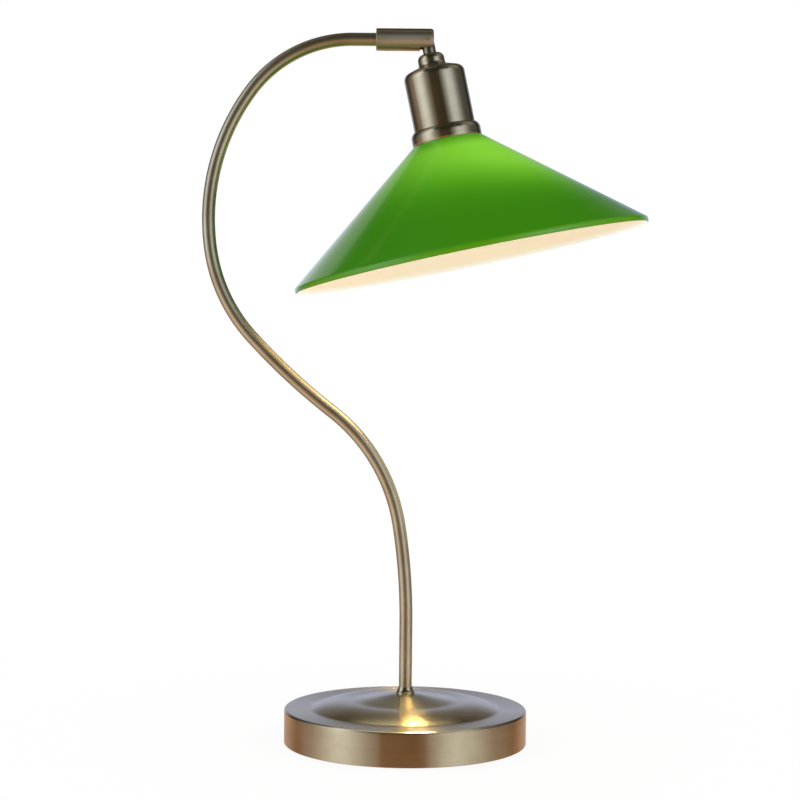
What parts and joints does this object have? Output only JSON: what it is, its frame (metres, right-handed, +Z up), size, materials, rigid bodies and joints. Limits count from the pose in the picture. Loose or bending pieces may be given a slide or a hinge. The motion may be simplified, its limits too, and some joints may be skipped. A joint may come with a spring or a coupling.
{
  "type": "desk lamp",
  "caption": "Desk lamp with a weighted round brass base, an S-bent brass tube and a tilting head under a conical green glass shade.",
  "frame": {"origin": "middle of the felt's underside, on the table and on the axis of the base and the lower tube", "axes": "+Z up, +X the way the head faces, +Y towards the back, where the cord comes in; the arm bends in the XZ plane"},
  "size_m": [0.3245, 0.2616, 0.5212],
  "materials": {
    "antique_brass": "brushed, aged and lacquered",
    "green_glass": "polished, green outside and opal white inside",
    "cast_iron": "as cast",
    "steel": "zinc plated",
    "felt": "wool felt",
    "black_rubber": "moulded",
    "white_plastic": "moulded",
    "black_plastic": "moulded",
    "flex_jacket": "extruded",
    "contact_brass": "stamped",
    "opal_bulb": "opal"
  },
  "bodies": {
    "stand": {"base_cover": "antique_brass", "base_weight": "cast_iron", "base_plate": "steel", "plate_screws": "steel", "base_felt": "felt", "cable_grommet": "black_rubber", "terminal_block": "white_plastic", "terminal_clamps": "steel", "block_screw": "steel", "stem_collar": "antique_brass", "stem_washer": "steel", "stem_lock_washer": "steel", "stem_nut": "steel", "arm_tube": "antique_brass", "inner_flex": "flex_jacket", "knuckle_body": "antique_brass", "knuckle_grub_screw": "steel", "pivot_pins": "antique_brass", "friction_washers": "white_plastic"},
    "head": {"pivot_stem": "antique_brass", "bell_cap": "antique_brass", "holder_cup": "antique_brass", "head_nut": "steel", "gallery_ring": "antique_brass", "shade_gasket": "black_rubber", "glass_shade": "green_glass", "shade_ring": "black_plastic", "lampholder_dome": "black_plastic", "lampholder_insert": "white_plastic", "lampholder_skirt": "black_plastic", "screw_shell": "steel", "centre_contact": "contact_brass", "terminal_screws": "steel", "head_flex": "flex_jacket", "bulb_tip": "steel", "bulb_button": "black_plastic", "bulb_cap": "steel", "bulb_glass": "opal_bulb"}
  },
  "joints": [
    {"name": "head_tilt", "type": "hinge", "parent": "stand", "child": "head", "pos_m": [0.01155, 0, 0.51314], "axis": [0, -1, 0], "range_deg": [-12, 75]}
  ]
}
